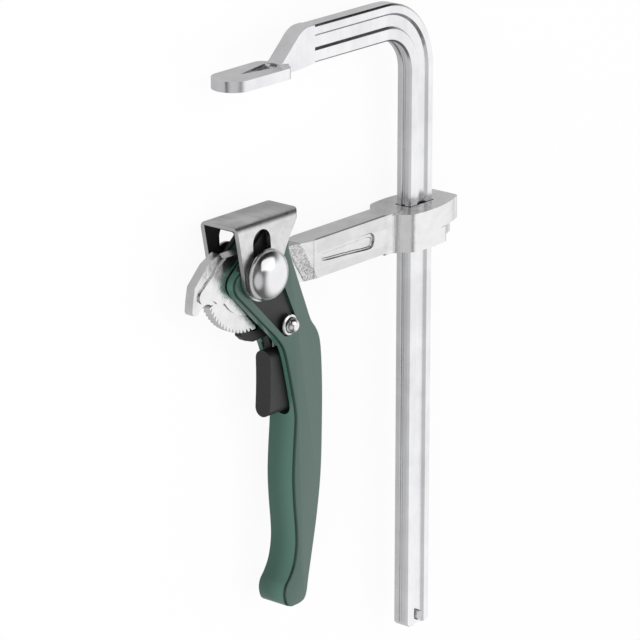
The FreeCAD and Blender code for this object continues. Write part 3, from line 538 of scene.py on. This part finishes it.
PIN_SEAT = 6.55
pin_dome = curve_through([(3.0, 1.0), (2.85, 1.9), (2.35, 2.9), (1.4, 3.65), (0.0, 3.9)], 6)
pin_profile = np.vstack([
    [(0, -PIN_SEAT - 1.6), (1.6, -PIN_SEAT - 1.6), (2.0, -PIN_SEAT - 1.2), (2.0, PIN_SEAT),
     (3.7, PIN_SEAT), (3.85, PIN_SEAT + 0.15), (3.85, PIN_SEAT + 0.6), (3.7, PIN_SEAT + 0.8),
     (3.3, PIN_SEAT + 0.9)],
    pin_dome + [0, PIN_SEAT]])
pin = turned("pawl_pin_turned", pin_profile, PIN, 56)
smooth_by_angle(pin, 40)
stand_for(pin, "pawl_pin", "lever_group")
print("turned pieces: rivet and pawl pin")

# %% [markdown]
# ## Spring and finger pad
#
# The spring's coil sits round the pawl pin and each end runs off straight.

# %% Spring wire
WIRE, COIL, RISE, TURNS = 0.4, 2.9, 0.9, 1.25
LEG_IN, LEG_OUT, LEG_START, COIL_FLOOR = 7.5, 8.2, 0.4, 0.4


def swept_wire(name, path, radius, origin, around=12):
    """A round wire along a path: at each point a ring of the given radius stands square
    to the tangent, on a normal carried from ring to ring without twist."""
    path = np.asarray(path, float)
    tangent = np.gradient(path, axis=0)
    tangent /= np.linalg.norm(tangent, axis=1)[:, None]
    normal = np.cross(tangent[0], (0, 0, 1.0))
    normal /= np.linalg.norm(normal)
    turn = np.linspace(0, 2 * np.pi, around, endpoint=False)
    rings = []
    for place, direction in zip(path, tangent):
        normal = normal - direction * (normal @ direction)
        normal /= np.linalg.norm(normal)
        side = np.cross(direction, normal)
        rings.append(place + radius * (np.cos(turn)[:, None] * normal + np.sin(turn)[:, None] * side))
    return new_piece(name, np.vstack(rings), capped(len(path), around), origin)


swing = np.linspace(0, 2 * np.pi * TURNS, 70)
coil = np.column_stack([
    COIL * np.cos(swing + np.pi / 2), COIL * np.sin(swing + np.pi / 2),
    COIL_FLOOR + WIRE + RISE * swing / (2 * np.pi)])
into = coil[0] - coil[1]
out = coil[-1] - coil[-2]
leg_in = coil[0] + np.outer(np.linspace(LEG_IN, LEG_START, 8), into / np.linalg.norm(into))
leg_out = coil[-1] + np.outer(np.linspace(LEG_START, LEG_OUT, 8), out / np.linalg.norm(out))
spring = swept_wire("spring_wire", np.vstack([leg_in, coil, leg_out]), WIRE, PIN)
smooth_by_angle(spring, 60)
stand_for(spring, "pawl_spring", "trigger_group")
print("spring wire:", len(spring.data.polygons), "faces")

# %% [markdown]
# The moulded finger pad has the broadest rounding.

# %% Finger pad
trigger = softened("trigger_button", "trigger_group", 0.7, 3)
print("finger pad:", len(trigger.data.polygons), "faces")

# %% [markdown]
# ## Forged, bent and stamped pieces
#
# These keep their own solids. Each copy has its edges rounded as its process would leave them.
# The triangular recess in the jaw and the oblong panels of the arm get sloped walls.

# %% Forgings and sheet
JAW_TOP, MARK_DEPTH = 66.5, 1.5
ARM_FACE, PANEL_DEPTH, SLOPE = 5.0, 1.0, 0.9
jaw_mark = [(-94.8, 0.0), (-94.3, -0.5), (-79.6, -3.3), (-78.6, -3.2), (-78.3, -2.4), (-78.3, 2.4),
            (-78.6, 3.2), (-79.6, 3.3), (-94.3, 0.5)]
panel = curve_through([
    (-57.0, -4.9), (-58.5, -6.4), (-57.0, -8.0), (-44.0, -8.8), (-31.5, -9.6), (-29.3, -7.3),
    (-31.5, -4.6), (-44.0, -4.7)], 6)[:-1]
bar = softened("bar", "bar_group", 0.5, 3, [
    tray("cut_mark", jaw_mark, JAW_TOP, MARK_DEPTH, SLOPE, SHIFT, "xz")])
arm = softened("sliding_arm", "arm_group", 0.6, 3, [
    tray("cut_panel_near", panel, ARM_FACE, PANEL_DEPTH, SLOPE, SHIFT),
    tray("cut_panel_far", panel, -ARM_FACE, PANEL_DEPTH, SLOPE, SHIFT)])
bracket = softened("pressure_bracket", "bracket_group", 0.3, 2)
pawl = softened("pawl", "trigger_group", 0.25, 2)
for piece in (bar, arm, bracket, pawl):
    print(piece.name, len(piece.data.polygons), "faces")

# %% [markdown]
# ## Finishes
#
# Every finish is worked out from the point's place on the piece.
# The forgings carry bright zinc plate, with a pitted band of painted shade on the arm's shoulder and
# painted dark reflection lines along edges.


# %% Zinc plate
def zinc(name, tint, shade, grain, stretch, rough, dents, peen_and_shade=None, edges=None):
    """Bright zinc plate: soft cloudy patches, drawn streaks and shallow dents.

    Where the band mask is 1 the surface is duller and finely pitted, and darkened with painted shade.
    Where the edges mask is 1 the colour is painted dark, as a painted reflection line along an edge."""
    finish = Finish(name, Metallic=1.0)
    streak = finish.noise(grain, 2.0, stretch)
    cloud = finish.noise(150.0, 3.0, roughness=0.55)
    patch = finish.noise(38.0, 5.0, roughness=0.6).ramp(0.38, 0.66)
    colour = finish.blend(patch * 0.5 + streak * 0.5, tint, shade)
    dull = cloud * 0.16 + streak * 0.14 + rough
    height = cloud * 0.8 + streak * 0.2
    if peen_and_shade:
        mask = peen_and_shade(finish)
        peen = finish.noise(1300.0, 2.0)
        # painted shade: the shoulder band is darkened in mottled patches, besides its real pits
        colour = finish.blend(mask * peen.ramp(0.40, 0.62) * 0.7, colour, tuple(c * 0.55 for c in shade))
        dull = dull + mask * 0.15
        height = height + mask * peen
    if edges:
        # painted reflection: dark lines along edges, where the bevels mirror dark surroundings
        colour = finish.blend(edges(finish), colour, tuple(c * 0.18 for c in shade))
    finish.feed(Base_Color=colour, Roughness=dull)
    finish.relief(height, dents)
    return finish


def shoulder_shade_band(finish):
    """A slanted band across the arm beside the lever, darkened there with painted shade."""
    lean = finish.along((1, 0.53, 0), SHIFT)
    return lean.between(-74.0, -68.0, 0.4)


def arm_painted_edge_line(finish):
    """A painted dark line on the arm's upper and lower sides, just behind its near flat face, standing in
    for a dark reflection.

    The panel's height and the two ends of the arm are left out."""
    line = finish.along((0, 0, 1), SHIFT).between(3.7, 4.95, 0.08)
    length = finish.along((1, 0, 0), SHIFT).between(-61.2, -22.0, 0.5)
    panel_height = finish.along((0, 1, 0), SHIFT).between(-10.4, -4.2, 0.2)
    return line * length * (1 - panel_height) * 0.85


def beam_painted_edge_line(finish):
    """A painted dark line on top of the bar's short leg, just behind its near face, standing in for a
    dark reflection.

    It fades out towards the jaw's neck and the bend."""
    line = finish.along((0, 0, 1), SHIFT).between(2.45, 3.05, 0.1)
    above = finish.along((0, 1, 0), SHIFT).ramp(60.0, 62.0)
    beyond = finish.along((1, 0, 0), SHIFT).between(-60.0, -12.0, 8.0)
    return line * above * beyond * 0.75


zinc("zinc_bar_finish", (0.76, 0.76, 0.77), (0.60, 0.60, 0.62), 300.0, (1.0, 0.08, 1.0),
     0.08, 0.10, edges=beam_painted_edge_line).put_on(bar)
zinc("zinc_arm_finish", (0.74, 0.74, 0.74), (0.56, 0.56, 0.57), 300.0, (0.5, 1.0, 1.0),
     0.10, 0.35, shoulder_shade_band, arm_painted_edge_line).put_on(arm)
zinc("plain_steel_finish", (0.56, 0.56, 0.57), (0.40, 0.40, 0.41), 500.0, (1.0, 1.0, 1.0),
     0.24, 0.03).put_on(*(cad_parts[node] for node in (
         "pivot_washer_near", "pivot_washer_far", "pivot_sleeve", "stop_pin")))
print("zinc on the bar, the arm and the small plain pieces")

# %% [markdown]
# The bracket's sheet is brushed and mottled, with painted shade in patches on its top face and painted
# dark shade inside, where no light reaches.

# %% Bracket sheet
sheet = Finish("zinc_sheet_finish", Metallic=1.0)
brushed = sheet.noise(420.0, 3.0, (1.0, 1.0, 0.15))
mottle = sheet.noise(120.0, 4.0)
across = sheet.along((0, 0, 1), PIVOT)
# painted shade: the sheet is coloured nearly black inside, where its walls shade it
inner_painted_shade = across.between(-6.9, 6.9, 0.08) * (1 - sheet.along((0, 1, 0), PIVOT).ramp(17.5, 17.8))
sheet_colour = sheet.blend(brushed * 0.6 + mottle * 0.4, (0.72, 0.72, 0.72), (0.42, 0.42, 0.42))
# painted shade: the top face darkens in mottled patches, partly random tone
top = sheet.along((0, 1, 0), PIVOT).ramp(18.6, 19.2)
sheet_colour = sheet.blend(top * sheet.noise(60.0, 3.0).ramp(0.30, 0.62), sheet_colour, (0.36, 0.36, 0.37))
sheet.feed(Base_Color=sheet.blend(inner_painted_shade, sheet_colour, (0.055, 0.055, 0.055)),
           Roughness=brushed * 0.18 + mottle * 0.10 + inner_painted_shade * 0.25 + 0.16)
sheet.relief(brushed * 0.5 + mottle, 0.06)
sheet.put_on(bracket)
print("sheet on the bracket")

# %% [markdown]
# The enamel has a painted highlight, lighter on the lever's front towards the near edge,
# and a painted dark reflection in a line along the rim.

# %% Green enamel
enamel = Finish("green_enamel", Metallic=0.0, IOR=1.5, Coat_Weight=0.35, Coat_Roughness=0.12)
orange_peel = enamel.noise(900.0, 2.0)
wash = enamel.noise(30.0, 3.0)
across_lever = enamel.along((0, 0, 1), PIVOT)
# painted reflection: a dark line along the near rim, where the rounded edge mirrors dark surroundings
painted_dark_rim_line = across_lever.between(5.55, 6.30, 0.12)
# painted highlight: the front is coloured lighter towards the near edge, as a sheen
painted_front_highlight = across_lever.ramp(-3.0, 5.4) * (1 - across_lever.ramp(5.4, 5.6))
painted = enamel.blend(wash, (0.024, 0.084, 0.060), (0.030, 0.098, 0.072))
painted = enamel.blend(painted_front_highlight * 0.8, painted, (0.075, 0.180, 0.140))
enamel.feed(Base_Color=enamel.blend(painted_dark_rim_line * 0.85, painted, (0.004, 0.012, 0.009)),
            Roughness=wash * 0.10 + orange_peel * 0.06 + 0.26)
enamel.relief(orange_peel, 0.04)
enamel.put_on(lever)
print("enamel on the lever")

# %% [markdown]
# The plates and the pawl are blackened steel, and the finger pad is a grained plastic.

# %% Black steel and plastic
blackened = Finish("blackened_steel", Metallic=0.6)
scuff = blackened.noise(160.0, 4.0)
blackened.feed(Base_Color=blackened.blend(scuff, (0.016, 0.016, 0.017), (0.050, 0.050, 0.052)),
               Roughness=scuff * 0.25 + 0.32)
blackened.relief(scuff, 0.05)
blackened.put_on(*plates, pawl)

plastic = Finish("black_plastic", Metallic=0.0, IOR=1.46)
grain = plastic.cells(1500.0)
film = plastic.noise(80.0, 2.0)
plastic.feed(Base_Color=plastic.blend(film, (0.012, 0.012, 0.013), (0.022, 0.022, 0.023)),
             Roughness=film * 0.12 + 0.38)
plastic.relief(grain, 0.06)
plastic.put_on(trigger)
print("black finishes on the plates, the pawl and the finger pad")

# %% [markdown]
# The rivet, the pin and its ring are polished, and the spring is drawn wire.

# %% Chrome and spring steel
chrome = Finish("chrome", Metallic=1.0)
haze = chrome.noise(70.0, 3.0)
chrome.feed(Base_Color=chrome.blend(haze, (0.62, 0.62, 0.63), (0.76, 0.76, 0.77)),
            Roughness=haze * 0.16 + 0.10)
chrome.relief(haze, 0.03)
chrome.put_on(rivet, pin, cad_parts["pin_retainer"])

wire = Finish("spring_steel", Metallic=1.0)
bloom = wire.noise(300.0, 2.0)
wire.feed(Base_Color=wire.blend(bloom, (0.22, 0.21, 0.20), (0.36, 0.35, 0.34)),
          Roughness=bloom * 0.2 + 0.25)
wire.put_on(spring)
print("finishes:", len(bpy.data.materials))

# %% [markdown]
# ## Floor, light and camera
#
# The floor is nearly white to the camera and a pale grey to the metal, and keeps the shadow.

# %% Floor
VEIL, METAL_VEIL, WHITE = 0.82, 0.38, 1.12
SIDE = 3000
floor = new_piece(
    "floor", [(-SIDE, -SIDE, 0), (SIDE, -SIDE, 0), (SIDE, SIDE, 0), (-SIDE, SIDE, 0)], [(0, 1, 2, 3)])
floor_finish = Finish("floor_pale", Base_Color=(0.46, 0.46, 0.46, 1), Roughness=0.9)
to_camera = floor_finish.node("ShaderNodeLightPath", output=CAMERA_RAY)
to_metal = floor_finish.node("ShaderNodeLightPath", output=GLOSSY_RAY)
veiled = floor_finish.node("ShaderNodeMixShader", None, {
    0: to_camera * VEIL + to_metal * METAL_VEIL,
    1: Value(floor_finish, floor_finish.surface.outputs[0]),
    2: floor_finish.node("ShaderNodeEmission", None, {"Strength": WHITE})})
floor_finish.links.new(veiled.socket, floor_finish.nodes["Material Output"].inputs["Surface"])
floor_finish.put_on(floor)
print("floor: veiled in white by", VEIL, "to the camera and by", METAL_VEIL, "to metal")

# %% [markdown]
# The sky is white to the camera and graded for the metal: bright on the side that
# the near faces mirror, a fainter patch on the left, and dark overhead.

# %% Sky
BRIGHT_SIDE = Vector((0.75, -0.15, 0.65)).normalized()
LEFT_SIDE = Vector((-0.66, -0.31, 0.68)).normalized()
DARK_SIDE = Vector((0.24, 0.90, 0.35)).normalized()
LOW, HIGH, LEFT, OVERHEAD = 0.16, 1.25, 0.60, 0.08
world = bpy.context.scene.world or bpy.data.worlds.new("studio")
bpy.context.scene.world = world
world.use_nodes = True
sky = Tree(world.node_tree)
backdrop = sky.nodes["Background"]
backdrop.inputs["Color"].default_value = (1, 1, 1, 1)
direction = sky.node("ShaderNodeTexCoord")


def patch(axis, low, high):
    """1 where the sky lies within an angle of an axis, given by cosines, with a soft edge."""
    facing = sky.node(
        "ShaderNodeVectorMath", {"operation": "DOT_PRODUCT"}, {0: direction, 1: axis}, output=1)
    return facing.ramp(low, high)


bright = patch(BRIGHT_SIDE, 0.48, 0.90) * (HIGH - LOW) + LOW
bright = bright + patch(LEFT_SIDE, 0.78, 0.96) * LEFT
bright = bright * (1 - patch(DARK_SIDE, 0.45, 0.85) * (1 - OVERHEAD))
seen = sky.node("ShaderNodeLightPath", output=CAMERA_RAY)
sky.links.new(seen.math("MAXIMUM", bright).socket, backdrop.inputs["Strength"])
print("sky:", len(sky.nodes), "nodes")

# %% [markdown]
# One soft box lights the near side and one fills the left.


# %% Soft boxes
def soft_box(name, place, size, watts, mirrored=True):
    """A rectangular area light that looks at the middle; a fill light isn't mirrored in metal."""
    light = bpy.data.lights.new(name, "AREA")
    light.shape = "RECTANGLE"
    light.size, light.size_y = size
    light.energy = watts
    lamp = bpy.data.objects.new(name, light)
    lamp.location = place
    lamp.rotation_euler = (-Vector(place)).to_track_quat("-Z", "Y").to_euler()
    lamp.visible_glossy = mirrored
    bpy.context.scene.collection.objects.link(lamp)


soft_box("key", (0.15, 0.55, 0.95), (1.2, 0.8), 4.0)
soft_box("left_fill", (-1.3, -0.1, 0.45), (1.4, 0.8), 13.0, mirrored=False)
print("lights: two soft boxes")

# %% [markdown]
# The lens, distance and direction repeat the photograph's view of the clamp.
# The camera looks along -back at a point ACROSS and UPWARD from the bar's axis.

# %% Camera
LENS, DEPTH = 218.5, 1412.0
ACROSS, UPWARD = 34.35, 43.0
back = Vector((-0.729, 0.309, 0.611)).normalized()
up = Vector((0.237, 0.951, -0.199))
up = (up - back * up.dot(back)).normalized()
right = up.cross(back)
place = (Vector(SHIFT) - right * ACROSS - up * UPWARD + back * DEPTH) * MM
camera = bpy.data.objects.new("camera", bpy.data.cameras.new("camera"))
camera.data.lens = LENS
camera.data.sensor_width = 36.0
camera.data.clip_start, camera.data.clip_end = 0.1, 20.0
camera.matrix_world = Matrix.Translation(place) @ Matrix((right, up, back)).transposed().to_4x4()
bpy.context.scene.collection.objects.link(camera)
bpy.context.scene.camera = camera
bpy.context.scene.view_settings.view_transform = "Standard"
print("camera at", [round(v, 3) for v in place])
